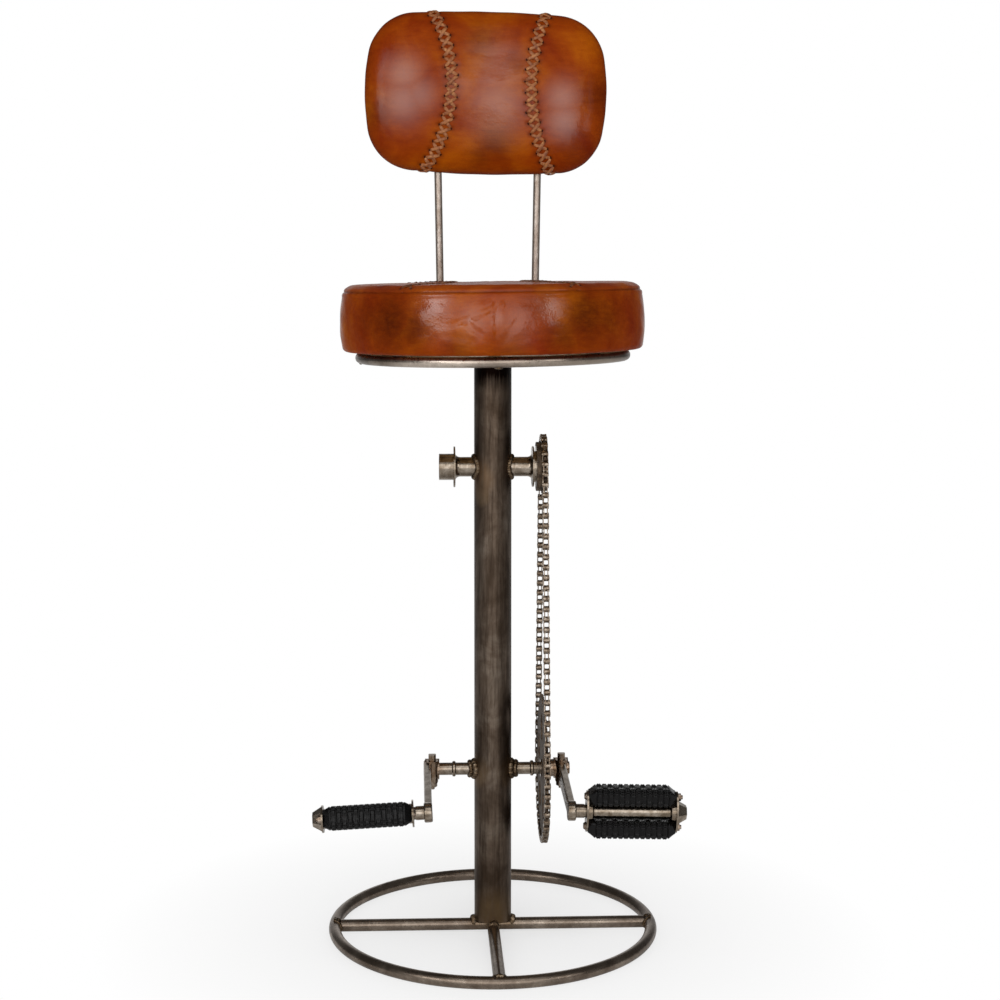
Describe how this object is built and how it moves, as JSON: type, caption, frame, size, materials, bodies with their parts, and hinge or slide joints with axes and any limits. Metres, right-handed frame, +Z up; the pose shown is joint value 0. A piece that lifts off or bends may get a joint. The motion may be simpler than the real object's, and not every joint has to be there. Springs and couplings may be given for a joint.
{
  "type": "bar stool",
  "caption": "Tall bar stool with a round leather seat and padded back on a steel post, ring base, and welded bicycle chain drive with pedals.",
  "frame": {"origin": "on the floor under the post's axis, at the middle of the base ring", "axes": "+Z up, +X to the chain side, -Y to the front where both cranks point, +Y to the backrest"},
  "size_m": [0.4417, 0.4249, 1.1802],
  "materials": {
    "ring_steel": "worn satin patina",
    "post_steel": "worn satin patina",
    "rod_steel": "worn satin patina",
    "weld_steel": "worn satin patina",
    "cycle_steel": "worn satin patina",
    "chain_steel": "worn satin patina",
    "bright_steel": "worn satin",
    "seat_leather": "worn satin",
    "back_leather": "worn satin",
    "foam": "open cell foam, matte",
    "plywood": "raw plywood",
    "pedal_rubber": "worn matte"
  },
  "bodies": {
    "frame": {"base_ring": "ring_steel", "base_cross_bar": "ring_steel", "base_spokes": "ring_steel", "base_welds": "weld_steel", "post": "post_steel", "seat_ring": "ring_steel", "seat_cross_bar": "ring_steel", "seat_spokes": "ring_steel", "seat_tabs": "ring_steel", "seat_screws": "bright_steel", "seat_welds": "weld_steel", "seat_board": "plywood", "seat_foam": "foam", "seat_cover_side": "seat_leather", "seat_cover_middle": "seat_leather", "seat_cover_sides": "seat_leather", "backrest_rod_left": "rod_steel", "backrest_rod_right": "rod_steel", "backrest_clips": "rod_steel", "backrest_screws": "bright_steel", "backrest_rod_welds": "weld_steel", "backrest_board": "plywood", "backrest_foam": "foam", "backrest_cover_middle": "back_leather", "backrest_cover_sides": "back_leather", "hub_half_left": "cycle_steel", "hub_half_right": "cycle_steel", "hub_welds": "weld_steel", "freewheel_core": "cycle_steel", "freewheel_lock_ring": "cycle_steel", "freewheel_sprocket": "cycle_steel", "freewheel_balls": "bright_steel", "chain_outer_links": "chain_steel", "chain_inner_links": "chain_steel", "chain_rollers": "chain_steel", "chainring": "cycle_steel", "crank_spindle": "cycle_steel", "spindle_welds": "weld_steel", "crank_left": "cycle_steel", "crank_right": "cycle_steel", "cotter_pins": "cycle_steel", "cotter_nuts": "cycle_steel", "pedal_spindle_left": "cycle_steel", "pedal_spindle_right": "cycle_steel", "pedal_cones": "bright_steel", "pedal_lock_nuts": "bright_steel"},
    "left_pedal": {"left_pedal_barrel": "cycle_steel", "left_pedal_balls": "bright_steel", "left_pedal_plates": "cycle_steel", "left_pedal_rubbers": "pedal_rubber", "left_pedal_bolts": "bright_steel", "left_pedal_cap": "cycle_steel"},
    "right_pedal": {"right_pedal_barrel": "cycle_steel", "right_pedal_balls": "bright_steel", "right_pedal_plates": "cycle_steel", "right_pedal_rubbers": "pedal_rubber", "right_pedal_bolts": "bright_steel", "right_pedal_cap": "cycle_steel"}
  },
  "joints": [
    {"name": "left_pedal_spin", "type": "hinge", "parent": "frame", "child": "left_pedal", "pos_m": [-0.083, -0.1648, 0.20084], "axis": [-0.9986, 0, -0.0523], "continuous": true},
    {"name": "right_pedal_spin", "type": "hinge", "parent": "frame", "child": "right_pedal", "pos_m": [0.0864, -0.1648, 0.20084], "axis": [0.9997, 0, -0.0262], "continuous": true}
  ]
}
